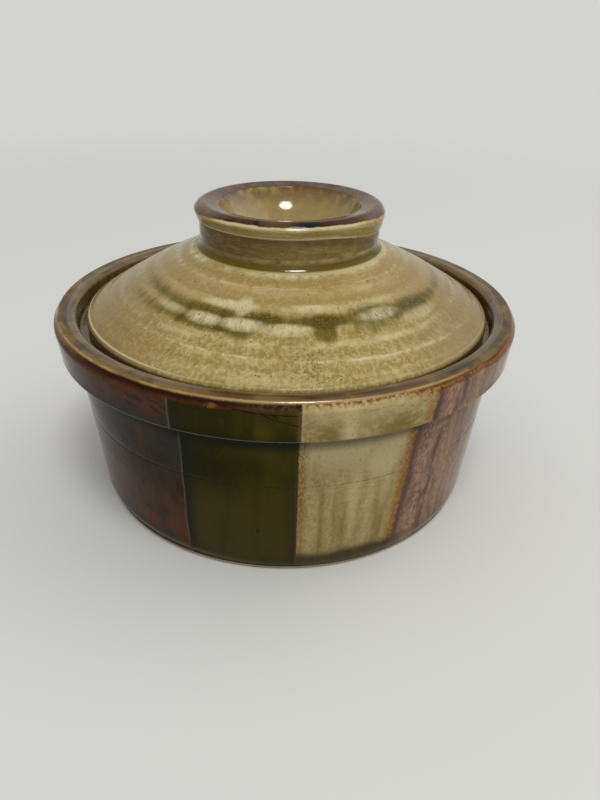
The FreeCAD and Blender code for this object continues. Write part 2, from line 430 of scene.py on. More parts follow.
def cream_panel(g, fine, broad, turn, on_collar):
    soft = g.runs(2.6, 24, detail=2, shift=7)
    grain = g.cloud(1.0, tall=1.5, detail=4, shift=25)
    thrown = g.cloud(5.0, tall=0.14, detail=3, shift=52)
    place = turn + (broad - 0.5) * 3
    colour = g.tint(grain.over(0.30, 0.74) * 0.5, STRAW, PALE_STRAW)
    colour = g.tint(thrown.over(0.50, 0.66) * g.height.near(34, 22) * 0.35, colour, PALE_STRAW)
    colour = g.tint(soft.over(0.52, 0.30) * 0.4 * g.height.over(50, 40), colour, GREEN_STRAW)
    runs = place.near(97.0, 2.2) + place.near(101.2, 2.6)
    runs = runs + place.near(105.6, 1.6) * 0.6 + place.near(112.6, 3.8)
    runs = runs * g.height.over(46, 24) * g.height.over(5, 12)
    colour = g.tint(runs * soft.over(0.80, 0.30) * 0.6, colour, GREEN_STRAW)
    light = place.near(113.2, 2.2) * g.height.over(22, 32)
    light = light + place.near(104.4, 2.4) + place.near(109, 2.0) * 0.6
    colour = g.tint(light * g.height.near(30, 26) * 0.6, colour, PALE_STRAW)
    colour = g.tint(g.mark(23.5, 42.5, 5.0, 7.0) * 0.75, colour, PALE_STRAW)
    upper = g.height.near(49.5, 11) * (1 - on_collar) * soft.over(0.2, 0.5)
    colour = g.tint(upper * 0.85, colour, PALE_STRAW)
    colour = g.tint(on_collar * g.height.over(60, 65) * 0.4, colour, PALE_STRAW)
    patches = place.near(95.8, 5.5).worked("MAXIMUM", place.near(111.5, 9.0)) * g.height.over(66, 59)
    colour = g.tint(on_collar * patches * 0.85, colour, GREEN_STRAW)
    between = on_collar * place.near(100.4, 2.6)
    colour = g.tint(between * 0.75, colour, PALE_STRAW)
    colour = g.tint(fine.over(0.54, 0.74) * 0.35, colour, GREEN_STRAW)
    clotted = g.cloud(3.2, tall=0.6, detail=4, shift=61)
    colour = g.tint(on_collar * clotted.over(0.50, 0.64) * 0.30, colour, PALE_STRAW)
    colour = g.tint(on_collar * clotted.over(0.47, 0.35) * grain.over(0.42, 0.62) * 0.4, colour, AMBER)
    colour = g.tint(on_collar * g.specks(1.7, 0.42, 0.30, shift=31) * 0.7, colour, AMBER)
    pits = g.specks(3.4, 0.45, 0.30, shift=12)
    return g.tint(pits * 0.75, colour, IRON_SPECK)


def pink_panel(g, turn, to_pink):
    grain = g.cloud(0.8, tall=2.4, detail=4, shift=70)
    cloudy = g.cloud(2.6, tall=6.0, detail=3, shift=33)
    colour = g.tint(cloudy.over(0.66, 0.34) * 0.55, PINK_BROWN, PLUM_BROWN)
    colour = g.tint(grain.over(0.38, 0.70) * cloudy.over(0.30, 0.60) * 0.70, colour, PALE_PINK)
    near_edge = turn.near(124.0, 3.6) * grain.over(0.38, 0.60)
    colour = g.tint(near_edge * 0.65, colour, PALE_PINK)
    colour = g.tint(turn.near(127.8, 2.6) * cloudy.over(0.62, 0.44) * 0.7, colour, PLUM_BROWN)
    colour = g.tint(turn.near(132.5, 2.8) * g.height.over(18, 34) * 0.4, colour, STRAW)
    return g.tint(to_pink.over(2.8, 0.9) * 0.85, colour, PLUM_BROWN)


RIM_TAN = (0.138, 0.090, 0.031)
RIM_BROWN = (0.056, 0.032, 0.010)
RIM_SLATE = (0.040, 0.040, 0.034)
RIM_DARK = (0.036, 0.019, 0.006)
RIM_BLACK = (0.017, 0.0045, 0.001)
RIM_RED = (0.060, 0.020, 0.006)
GOLD = (0.34, 0.225, 0.075)


def rim_top(g):
    """The iron glaze on the flat of the rim: brushed brown and tan, and slate where it is thick."""
    brushed = g.noise(g.joined(g.angle * 0.09, g.radius * 1.1, g.height * 1.1), 1.0, 4)
    cloudy = g.cloud(6, detail=4, shift=60)
    inner = g.radius.over(78.5, 75.5)
    colour = g.tint(cloudy.over(0.36, 0.62) * 0.5 + brushed.over(0.36, 0.62) * 0.5, RIM_BROWN, RIM_TAN)
    colour = g.tint(inner * brushed.over(0.40, 0.58) * 0.4, colour, RIM_TAN)
    dark = brushed.over(0.54, 0.66) * cloudy.over(0.56, 0.44)
    colour = g.tint(dark * 0.55, colour, RIM_DARK)
    for angle, wide in ((-12, 8), (4, 9), (20, 10), (40, 16), (-70, 14)):
        patch = g.angle.near(angle, wide) * g.radius.near(77.6, 2.8)
        colour = g.tint(patch * brushed.over(0.66, 0.42) * 0.75, colour, RIM_DARK)
    slate = g.cloud(10, detail=4, shift=90).over(0.53, 0.63)
    for angle, wide in ((-78, 10), (-51, 7), (60, 12), (42, 9)):
        slate = slate.worked("MAXIMUM", g.angle.near(angle, wide))
    slate = slate * g.radius.near(77.4, 2.8) * brushed.over(0.26, 0.50)
    colour = g.tint(slate * 0.75, colour, RIM_SLATE)
    outer = g.radius.near(RIM_EDGE_RADIUS - 0.7, 0.9) * g.angle.over(-84, -60) * g.angle.over(60, 20)
    return g.tint(outer * brushed.over(0.66, 0.34) * 0.6, colour, AMBER)


def rim_edge(g, colour, cream, pink, ragged, broad):
    """Where the iron glaze runs over the shoulder of the rim and meets the panels."""
    lip = g.height + (ragged - 0.5) * 0.9 + (broad - 0.5) * 1.4
    start = RIM_TOP - 2.6
    dark = g.tint(lip.over(start + 1.3, start + 0.1) * 0.75, RIM_BLACK, RIM_RED)
    flame = g.mark(-14.2, RIM_TOP - 2.6, 1.9, 1.5)
    dark = g.tint(flame * ragged.over(0.30, 0.60) * 0.7, dark, ORANGE)
    dark = g.tint(g.angle.over(-44, -62) * lip.over(start + 0.5, start + 1.5) * 0.7, dark, AMBER)
    thin = g.mark(-1.5, RIM_TOP - 1.7, 9.0, 2.6) * ragged.over(0.34, 0.60)
    dark = g.tint(thin * 0.9, dark, RIM_BROWN)
    colour = g.tint(lip.over(start - 0.2, start + 0.4) * (1 - cream), colour, dark)
    warm = g.tint(ragged.over(0.42, 0.58), GOLD, AMBER)
    stained = lip.over(start + 0.2, start + 1.8) * (1 - pink) * cream
    colour = g.tint(stained * 0.8, colour, warm)
    brown_line = lip.near(start + 1.9, 0.5) * cream * ragged.over(0.40, 0.55)
    right = g.angle.near(31, 11) * lip.over(start - 0.6, start + 0.8) * (1 - pink)
    stain = g.tint(ragged.over(0.44, 0.60), ORANGE, RIM_BROWN)
    colour = g.tint(right.worked("MAXIMUM", brown_line) * 0.75, colour, stain)
    dark_end = g.angle.near(34, 14) * lip.over(start + 1.0, start + 1.8) * cream
    colour = g.tint(dark_end * 0.7, colour, RIM_DARK)
    over_pink = lip.over(start + 0.1, start + 0.9) * pink
    rust = g.tint(lip.near(start + 1.3, 0.8) * ragged.over(0.34, 0.52) * 0.75, RIM_RED, ORANGE)
    return g.tint(over_pink * 0.9, colour, rust)


def panel_glaze():
    """The poured panels of the wall and collar, and the iron glaze of the rim above them."""
    g = Finish("panel_glaze")
    height = g.height
    fine = g.cloud(0.8, tall=1.8, detail=4)
    broad = g.cloud(9.0, tall=1.4)
    ragged = g.cloud(1.2, tall=1.0, detail=4, shift=40)
    turn = (g.angle - BROWN_START).wrapped(180)
    loose = turn + (broad - 0.5) * 1.2 - height * 0.04
    to_green = loose - GREEN_START
    to_cream = turn - CREAM_START + (ragged - 0.5) * 0.5
    to_pink = loose - PINK_START + (ragged - 0.5) * 1.5
    on_collar = height.over(COLLAR_BOTTOM - 0.5, COLLAR_BOTTOM + 0.5)
    green = to_green.over(-0.12, 0.12)
    cream = to_cream.over(-0.15, 0.15)
    pink = to_pink.over(-0.35, 0.35)

    colour = g.tint(green, brown_panel(g, fine, broad), green_panel(g, fine, broad, to_green, on_collar))
    colour = g.tint(cream, colour, cream_panel(g, fine, broad, turn, on_collar))
    amber = to_cream.over(3.0, 0.6) * (fine.over(0.36, 0.62) * 0.6 + 0.3) * (height.over(0, 40) * 0.6 + 0.4)
    colour = g.tint(amber * cream * (1 - on_collar * 0.6), colour, AMBER)
    burnt = to_pink.over(-3.8, -0.6) * (ragged.over(0.30, 0.60) * 0.4 + 0.6) * (1 - on_collar * 0.3)
    colour = g.tint(burnt * cream, colour, g.tint(fine.over(0.48, 0.62) * 0.5, ORANGE, AMBER))
    colour = g.tint(pink, colour, pink_panel(g, turn, to_pink))
    colour = g.tint(turn.near(0.0, 0.4) * 0.8, colour, BLACK_OLIVE)
    seam = to_green.near(-0.25, 0.3)
    colour = g.tint(seam * 0.35, colour, SLIP_LINE)
    plum = to_cream.near(-0.45, 0.55) * (on_collar * 0.6 + 0.35)
    colour = g.tint(plum, colour, PLUM_BROWN)

    pooled = height + (broad - 0.5) * 4
    pool = pooled.over(10.4, 5.8) * (cream * 0.60 + 0.30) * (1 - pink * 0.6)
    colour = g.tint(pool, colour, POOL)
    shaded = height.over(COLLAR_BOTTOM - 7.0, COLLAR_BOTTOM - 3.0) * (1 - on_collar)
    colour = g.tint(shaded * (0.85 - cream * 0.25 - pink * 0.2), colour, TEAL)
    # A pale line along the collar's lower edge: glaze breaking thin on the edge, with a painted reflection
    # of the floor.
    edge_break_and_sheen = height.near(COLLAR_BOTTOM + 0.5, 0.8)
    colour = g.tint(edge_break_and_sheen * (0.65 - pink * 0.25), colour, EDGE_BREAK_AND_SHEEN)
    scored = height.near(SCORED_LINE - 0.1 + (broad - 0.5) * 1.2, 0.42) * ragged.over(0.35, 0.55)
    colour = g.tint(scored * (0.7 - cream * 0.3), colour, BLACK_OLIVE)

    colour = rim_edge(g, colour, cream, pink, ragged, broad)
    colour = g.tint(height.over(RIM_TOP - 0.6, RIM_TOP - 0.3), colour, rim_top(g))
    # A gold line round the rim's outer edge: glaze worn thin there, with a painted highlight strongest at
    # the front.
    worn_edge_and_highlight = g.radius.near(RIM_EDGE_RADIUS + 0.05 + (ragged - 0.5) * 0.4, 0.5)
    worn_edge_and_highlight = worn_edge_and_highlight * height.over(RIM_TOP - 1.0, RIM_TOP - 0.6)
    left_edge = broad.over(0.34, 0.54) * g.angle.over(60, 30) * 0.8
    bright = g.angle.near(2, 46).worked("MAXIMUM", left_edge)
    colour = g.tint(worn_edge_and_highlight * bright * 0.95, colour, GOLD)
    crack = g.scratch((-10.0, 67.2), (-4.5, 66.3), 0.38)
    for start, end, width in (((-4.5, 66.3), (2.2, 65.9), 0.30), ((-4.5, 66.3), (-2.2, 64.6), 0.40),
                              ((-2.2, 64.6), (2.6, 62.4), 0.32), ((-2.6, 66.2), (-1.4, 65.0), 0.30)):
        crack = crack.worked("MAXIMUM", g.scratch(start, end, width))
    crack = crack * ragged.over(0.28, 0.42)
    colour = g.tint(crack * 0.95, colour, RIM_BLACK)

    relief = fine * 0.02 + ragged * 0.02 + seam * 0.10 - scored * 0.05 - crack * 0.15
    glassy = g.radius.near(RIM_EDGE_RADIUS + 0.2, 0.9) * g.angle.near(6, 34)
    glassy = glassy * height.over(RIM_TOP - 1.2, RIM_TOP - 0.7)
    return g.set(colour, fine * 0.08 + 0.06, relief, glassy * 0.9 + 0.06)


INSIDE_STRAW = (0.34, 0.255, 0.105)
INSIDE_OLIVE = (0.19, 0.150, 0.045)


def inside_glaze():
    """The straw glaze of the inside, brown where the rim's iron glaze runs into the gallery."""
    g = Finish("inside_glaze")
    rings = (g.height * 0.9 + g.cloud(20) * 4).worked("SINE") * 0.5 + 0.5
    mottle = g.cloud(2.2, detail=4)
    colour = g.tint(mottle.over(0.25, 0.75) * 0.6 + rings * 0.25, INSIDE_OLIVE, INSIDE_STRAW)
    colour = g.tint(g.height.over(14, 8.6) * 0.6, colour, INSIDE_OLIVE)
    iron = (g.height + (g.cloud(4, detail=3) - 0.5) * 3).over(58, 63)
    colour = g.tint(iron, colour, g.tint(mottle.over(0.25, 0.75), RIM_BROWN, RIM_TAN))
    colour = g.tint(g.height.over(RIM_TOP - 2.0, RIM_TOP - 0.6), colour, rim_top(g))
    specks = g.specks(4.0, 0.5, 0.35)
    colour = g.tint(specks * 0.8, colour, IRON_SPECK)
    relief = mottle * 0.02 - specks * 0.05
    return g.set(colour, mottle * 0.08 + 0.09, relief, 0.3)


CLAY = (0.36, 0.27, 0.18)
TOASTED_CLAY = (0.26, 0.170, 0.105)


def bare_clay():
    """The wiped foot: buff stoneware, toasted in patches, with grog and iron specks."""
    g = Finish("bare_clay")
    grain = g.cloud(0.6, detail=4)
    patches = g.cloud(11, detail=3)
    colour = g.tint(patches.over(0.25, 0.80) * 0.8, CLAY, TOASTED_CLAY)
    colour = g.tint(grain.over(0.55, 0.7) * 0.4, colour, TOASTED_CLAY)
    specks = g.specks(2.6, 0.45, 0.4)
    colour = g.tint(specks, colour, IRON_SPECK)
    rings = (g.radius * 1.6 + patches * 2).worked("SINE")
    relief = grain * 0.09 + rings * 0.03 - specks * 0.05
    return g.set(colour, grain * 0.2 + 0.62, relief, 0.4)


def share_out(piece, finishes, choose):
    """Give a piece its finishes, and each face the one that choose(radius, height) names."""
    for finish in finishes:
        piece.data.materials.append(finish)
    for face in piece.data.polygons:
        place = face.center / MM
        across, up = math.hypot(place.x, place.y), place.z
        face.material_index = choose(across, up)


def pot_finish(across, up):
    if up < GLAZE_STOP or (across < FOOT_RADIUS - 2 and up < FOOT_RECESS + 0.8):
        return 2
    beyond_rim = across > rim_middle or up < COLLAR_BOTTOM and across > WALL_TOP_RADIUS - 6
    outer_wall = across > HEEL_RADIUS - 3.5 and up < COLLAR_BOTTOM + 0.5 and across > 68.8 + up * 0.09
    return 0 if outer_wall or (beyond_rim and up >= COLLAR_BOTTOM - 0.5) else 1


share_out(pot, [panel_glaze(), inside_glaze(), bare_clay()], pot_finish)
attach(pot, "pot")
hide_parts("pot_body")

# The lid
# One piece of thrown stoneware, a low hollow dome that rests on the ledge of the gallery. Fingers
# left rings in it, and the straw ash glaze ran off them: thin and pale on each crest, thick and
# olive in the grooves between. Iron in the clay shows through as brown specks.

dome_low, dome_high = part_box("lid_dome")
LID_RADIUS = dome_high.x / MM
LID_SEAT = dome_low.z / MM
DOME_TOP = dome_high.z / MM
LID_EDGE = LID_SEAT + 4.6
LID_SEAT_WIDTH = 5.4
LID_THICKNESS = 5.6
LID_SHIFT = (0.5, 0.0)
KNOB_SEAT_RADIUS = 31.9
DOME_CROWN = 1.1
FIRST_RING = 33.2
LAST_RING = 68.6
RING_COUNT = 6
RING_RELIEF = 0.27
HOLLOW_FLAT_RADIUS = 28.5


def ring_turn(radius, angle):
    """Turns of the one long finger spiral that lie inside a place. Whole numbers are crests."""
    share = (radius - FIRST_RING) * (1 / (LAST_RING - FIRST_RING))
    return share * RING_COUNT - share * (1 - share) * 0.70 - angle * (1 / 360) - 0.06


shares = np.linspace(0, 1, 121)
slope = [
    (
        LID_RADIUS - (LID_RADIUS - KNOB_SEAT_RADIUS) * share,
        LID_EDGE + (DOME_TOP - LID_EDGE) * share + 4 * DOME_CROWN * share * (1 - share),
        1.9 if share == 0 else 0,
        0.4,
    )
    for share in shares
]
lid_outline = rounded_outline(
    [
        (0, DOME_TOP - LID_THICKNESS, 0, 3.0),
        (HOLLOW_FLAT_RADIUS, DOME_TOP - LID_THICKNESS, 12.0, 1.6),
        (LID_RADIUS - LID_SEAT_WIDTH, LID_SEAT, 0.9, 0.8),
        (LID_RADIUS, LID_SEAT, 1.9, 0.5),
    ]
    + [slope[0]]
    + slope[6:]
    + [(0, DOME_TOP, 0, 0)]
)
radius, height = lid_outline[:, 0, None], lid_outline[:, 1, None]
top_side = height > LID_EDGE + 0.45
on_dome = np.where(top_side, np.clip((radius - KNOB_SEAT_RADIUS - 0.5) / 1.5, 0, 1), 0)
on_dome = on_dome * np.clip((LID_RADIUS - 1.0 - radius) / 1.5, 0, 1)
crests = 0.5 + 0.5 * np.cos(2 * math.pi * ring_turn(radius, DEGREES))
finger = 0.02 * hand_wave(21, (2.1, 2.9, 3.7), radius) + 0.08 * hand_wave(22, (14, 19, 31), radius)
strength = 0.8 + 0.35 * hand_wave(23, (16, 25), radius)
lid_lift = on_dome * (RING_RELIEF * crests ** 0.8 * strength + finger - 0.1)
lid = turned_piece("stoneware_lid", lid_outline, lid_lift, LID_SHIFT)

LID_STRAW = (0.290, 0.228, 0.076)
LID_PALE = (0.405, 0.340, 0.158)
LID_LIGHT = (0.46, 0.420, 0.240)
LID_TAN = (0.228, 0.160, 0.047)
LID_ROSE = (0.270, 0.180, 0.082)
# Pink tan used as painted shade on the lid's sides and back.
LID_SIDE_SHADE = (0.182, 0.124, 0.042)
LID_GREEN = (0.094, 0.074, 0.004)
LID_DEEP_GREEN = (0.040, 0.030, 0.0005)
LID_GREEN_STRAW = (0.180, 0.148, 0.026)
LID_SPECK = (0.125, 0.055, 0.016)


def green_pools(g, drips, patches, mottle):
    """Where the ash glaze gathered in two of the grooves and ran down between them."""
    upper = (g.radius - g.angle * 0.026).near(50.3, 3.3) * g.angle.over(-110, -48) * g.angle.over(130, 50)
    pale_drop = g.mark(-16.5, 47.0, 3.4, 5.5)
    upper = upper * (patches.over(0.30, 0.60) * 0.35 + 0.75) * (1 - pale_drop * 0.7)
    lower = (g.radius - g.angle * 0.012).near(54.6, 3.2) * g.angle.over(-85, -46) * g.angle.over(-6, -24)
    field = upper + lower * 0.9
    for angle, along, wide, long, strength in (
        (-8.5, 49.8, 9.0, 3.6, 0.7), (31.0, 48.4, 12.0, 3.4, 0.9), (-30.0, 49.2, 16.0, 2.8, 0.3),
        (49.0, 49.4, 12.0, 3.2, 0.5),
        (-15.5, 54.6, 7.0, 4.6, 0.8), (-22.5, 51.8, 3.4, 5.0, 0.6), (12.0, 53.4, 5.6, 6.6, 1.1),
        (-5.0, 54.8, 8.0, 3.4, 0.4), (27.0, 54.2, 8.0, 3.4, 0.8), (36.5, 53.4, 7.0, 3.4, 0.7),
        (-38.0, 52.0, 3.4, 4.2, 0.5), (14.0, 50.8, 16.0, 3.2, 0.5), (52.0, 51.8, 20.0, 4.6, 0.6),
        (-28.0, 54.4, 12.0, 3.0, 0.4), (2.0, 57.0, 3.0, 6.0, 0.4), (-14.0, 58.0, 3.0, 5.0, 0.4),
    ):
        field = field + g.mark(angle, along, wide, long) * strength
    field = field + (drips - 0.5) * 1.3 + (patches - 0.5) * 0.5 + (mottle - 0.5) * 0.6
    return field.over(0.10, 1.15), field.over(0.80, 1.8)


def ash_glaze():
    """The runny straw glaze of the dome, pooled olive in the grooves between the rings."""
    g = Finish("ash_glaze", LID_SHIFT, "radius")
    crest = (ring_turn(g.radius, g.angle) * (2 * math.pi)).worked("COSINE") * 0.5 + 0.5
    drips = g.runs(1.8, 6.0, detail=3)
    strokes = g.runs(0.8, 2.0, detail=3, shift=9)
    patches = g.runs(12.0, 8.0, detail=4, shift=5)
    fine = g.cloud(0.5, detail=3)
    mottle = g.cloud(2.6, detail=5)
    outer = g.radius.over(48, 54)

    colour = g.tint(mottle.over(0.32, 0.68), LID_TAN, LID_STRAW)
    colour = g.tint(strokes.over(0.46, 0.70) * (outer * 0.4 + 0.1), colour, LID_PALE)
    colour = g.tint(drips.over(0.46, 0.66) * outer * 0.75, colour, LID_GREEN_STRAW)
    groove = crest.over(0.5, 0.0)
    colour = g.tint(groove * outer * patches.over(0.30, 0.55) * 0.3, colour, LID_GREEN_STRAW)
    colour = g.tint(groove * (1 - outer) * patches.over(0.60, 0.40) * 0.7, colour, LID_TAN)
    swept = g.runs(11.0, 1.5, detail=4, shift=14)
    colour = g.tint(swept.over(0.46, 0.62) * (0.55 - outer * 0.42), colour, LID_ROSE)
    tan_ring = g.radius.near(43.7, 1.6) * 1.4 + g.radius.near(36.2, 1.3) + g.radius.near(56.2, 1.3) * 0.8
    colour = g.tint((tan_ring * 0.55).worked("MINIMUM", 0.8), colour, LID_TAN)
    ash = g.cloud(1.1, detail=5, shift=17)
    colour = g.tint(ash.over(0.51, 0.62) * (outer * 0.25 + 0.25), colour, LID_PALE)
    colour = g.tint(ash.over(0.48, 0.37) * outer * 0.5, colour, LID_GREEN_STRAW)
    broken = strokes.worked("MAXIMUM", 1 - outer) * 0.5 + swept.over(0.60, 0.40) * 0.5
    pale = crest.over(0.35, 1.0) * patches.over(0.36, 0.64) * broken
    colour = g.tint(pale * (outer * 0.35 + 0.55), colour, LID_PALE)
    # Painted shade: the lid's left, right and back are darkened to a pink tan, to offset the pale sheen
    # seen there.
    shaded_sides = g.across.worked("ABSOLUTE").over(26, 60).worked("MAXIMUM", g.deep.over(-20, 25) * 0.7)
    colour = g.tint(shaded_sides * (mottle.over(0.75, 0.25) * 0.2 + 0.72), colour, LID_SIDE_SHADE)

    pools, deep_pools = green_pools(g, drips, patches, mottle)
    colour = g.tint(pools * 0.92, colour, LID_GREEN)
    colour = g.tint(deep_pools * 0.8, colour, LID_DEEP_GREEN)
    # Pale patches on the crests beside the pools: thin milky glaze, with a painted sheen.
    pale_patches_and_sheen = g.mark(-44, 51.9, 9, 1.9) * 0.4
    for angle, along, wide, long, strength in (
        (-29.0, 52.3, 9.0, 2.6, 0.9), (-15.0, 52.4, 10.0, 2.8, 1.0), (-1.0, 53.4, 11.0, 2.6, 0.9),
        (33.0, 51.0, 11.0, 2.8, 0.8), (-16.5, 45.6, 4.2, 4.4, 0.9), (50.0, 55.0, 12.0, 2.4, 0.4),
        (-22.0, 46.2, 15.0, 2.0, 0.9), (8.0, 46.2, 15.0, 1.8, 0.7), (32.0, 46.4, 18.0, 1.8, 0.4),
    ):
        pale_patches_and_sheen = pale_patches_and_sheen.worked("MAXIMUM", g.mark(angle, along, wide, long) * strength)
    pale_patches_and_sheen = pale_patches_and_sheen * (mottle.over(0.34, 0.58) * 0.45 + strokes.over(0.36, 0.60) * 0.30 + 0.3)
    colour = g.tint(pale_patches_and_sheen.worked("MINIMUM", 0.9), colour, LID_LIGHT)
    spiral = (g.radius - g.angle * 0.034 - 62.9 + (drips - 0.5) * 0.8).near(0.0, 0.8)
    spiral = spiral * g.angle.over(-62, -45) * g.angle.over(70, 55)
    light = spiral.worked("MAXIMUM", g.radius.near(58.8, 1.5) * 0.65)
    light = light.worked("MAXIMUM", g.radius.near(66.6, 1.6) * g.angle.near(-8, 40) * 0.5)
    light = light.worked("MAXIMUM", g.radius.near(38.8, 1.0) * 0.5)
    light = light.worked("MAXIMUM", g.radius.near(33.7, 1.6) * 1.2)
    # The pale rings are weakened on the same painted-shade sides.
    light = light * patches.over(0.30, 0.55) * mottle.over(0.30, 0.60) * (1 - shaded_sides * 0.6)
    colour = g.tint(light * 0.8, colour, LID_LIGHT)

    small = g.specks(0.9, 0.5, g.mark(5.5, 64.5, 7, 6.5) * 0.8 + g.mark(4, 68, 20, 4.0) * 0.2 + 0.03)
    large = g.specks(3.6, 0.6, 0.14, shift=50) * g.radius.over(50, 56)
    speck = small.worked("MAXIMUM", large * 0.8)
    colour = g.tint(speck * 0.8, colour, LID_SPECK)
    white = g.specks(1.9, 0.4, 0.35, shift=80)
    colour = g.tint(white * 0.4, colour, LID_LIGHT)
    colour = g.tint(fine.over(0.50, 0.70) * 0.5, colour, LID_TAN)
    edge = g.radius.near(LID_RADIUS - 0.95, 0.45) * g.height.over(LID_EDGE - 0.8, LID_EDGE)
    colour = g.tint(edge * (g.angle.over(-15, -45) * 0.6 + 0.2), colour, LID_LIGHT)
    under = g.height.over(LID_EDGE - 0.8, LID_EDGE - 2.0)
    colour = g.tint(under, colour, g.tint(mottle.over(0.3, 0.7), LID_TAN, INSIDE_OLIVE))
    # Painted shade: the lid's edge, where it sits down in the gallery, is darkened to brown.
    gap_shade = g.radius.over(LID_RADIUS - 2.6, LID_RADIUS - 1.4)
    gap_shade = gap_shade * g.height.over(LID_EDGE - 0.1, LID_EDGE - 0.9)
    colour = g.tint(gap_shade * 0.8, colour, RIM_BROWN)

    relief = fine * 0.03 + drips * 0.04 + mottle * 0.03 - speck * 0.05 - white * 0.03
    return g.set(colour, fine * 0.12 + 0.12, relief, 0.12)


share_out(lid, [ash_glaze(), bare_clay()], lambda across, up: int(up < LID_SEAT + 0.15))
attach(lid, "lid")
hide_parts("lid_dome")

# The knob
# A small thrown cup stuck with slip to the flat top of the dome, so the lid can be lifted by its
# undercut side and stood upside down on its rim. A step runs round it, thick glaze fills the
# joint at its foot, and the rim was wiped with the same iron glaze as the pot's.

knob_low, knob_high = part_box("lid_knob")
KNOB_FOOT = knob_low.z / MM
KNOB_TOP = knob_high.z / MM
KNOB_RADIUS = knob_high.x / MM
KNOB_WAIST = 31.0
KNOB_STEP = KNOB_FOOT + 10.0
KNOB_STEP_DEPTH = 0.6
KNOB_BAND_SLOPE = 0.9
KNOB_BAND_TOP = KNOB_STEP + 3.0
KNOB_RIM_WIDTH = 9.0
KNOB_LIP = KNOB_TOP - 1.0
KNOB_CUP_FLOOR = KNOB_LIP - 11.8
KNOB_CUP_FLOOR_RADIUS = 14.6
KNOB_SHIFT = (0.9, 0.0)

STEP_FALL = 2.2
STEP_FALL_START = 22.0
STEP_FALL_END = 62.0

knob_outline = rounded_outline([
    (0, KNOB_FOOT - 1.2, 0, 4.0),
    (KNOB_WAIST + 3.4, KNOB_FOOT - 1.35, 0.1, 0.3),
    (KNOB_WAIST + 0.1, KNOB_FOOT + 0.8, 3.0, 0.25),
    (KNOB_RADIUS - KNOB_BAND_SLOPE - KNOB_STEP_DEPTH, KNOB_STEP - 0.25, 0.2, 0.2),
    (KNOB_RADIUS - KNOB_BAND_SLOPE, KNOB_STEP + 0.1, 0.25, 0.4),
    (KNOB_RADIUS, KNOB_BAND_TOP, 0.9, 0.3),
    (KNOB_RADIUS - 1.4, KNOB_TOP - 0.7, 1.6, 0.25),
    (KNOB_RADIUS - 3.2, KNOB_TOP, 3.0, 0.3),
    (KNOB_RADIUS - KNOB_RIM_WIDTH + 0.6, KNOB_LIP, 1.0, 0.3),
    (KNOB_RADIUS - KNOB_RIM_WIDTH - 2.6, KNOB_LIP - 7.2, 20.0, 0.5),
    (KNOB_CUP_FLOOR_RADIUS, KNOB_CUP_FLOOR, 3.0, 0.5),
    (0, KNOB_CUP_FLOOR, 0, 1.5),
])
radius, height = knob_outline[:, 0, None], knob_outline[:, 1, None]
side = np.clip((height - KNOB_FOOT - 2) / 1.5, 0, 1) * (height < KNOB_BAND_TOP)
knob_lift = np.where(radius > KNOB_WAIST - 0.5, side * (0.04 * hand_wave(31, (3.4, 5.1), height) - 0.04), 0)
swing = 0.03 * (hand_wave(32, (80, 120), height) - 1)
knob_lift = knob_lift + swing * np.clip((height - KNOB_FOOT - 1) / 3, 0, 1)
fall = np.clip((DEGREES - STEP_FALL_START) / (STEP_FALL_END - STEP_FALL_START), 0, 1)
fall = fall * np.clip((150 - DEGREES) / 60, 0, 1)
outer = np.clip((radius - KNOB_WAIST + 3) / 2, 0, 1)
knob_drop = -STEP_FALL * fall * outer * rise(height, KNOB_STEP - 1.0, 6.5)
knob = turned_piece("stoneware_knob", knob_outline, knob_lift, KNOB_SHIFT, knob_drop)

KNOB_CREAM = (0.42, 0.345, 0.170)
KNOB_STRAW = (0.300, 0.232, 0.084)
KNOB_TAN = (0.180, 0.128, 0.036)
# Dark glaze for blotches, specks and patches, also used as painted shade on the knob's side.
KNOB_DARK_AND_SHADE = (0.080, 0.051, 0.012)
KNOB_IRON = (0.052, 0.019, 0.006)
KNOB_DARK_IRON = (0.026, 0.010, 0.003)
KNOB_THIN_IRON_AND_SHEEN = (0.135, 0.088, 0.058)
KNOB_SLATE = (0.045, 0.046, 0.036)
KNOB_GREEN = (0.082, 0.058, 0.001)
CUP_TAN = (0.24, 0.176, 0.050)
CUP_AMBER = (0.135, 0.072, 0.014)


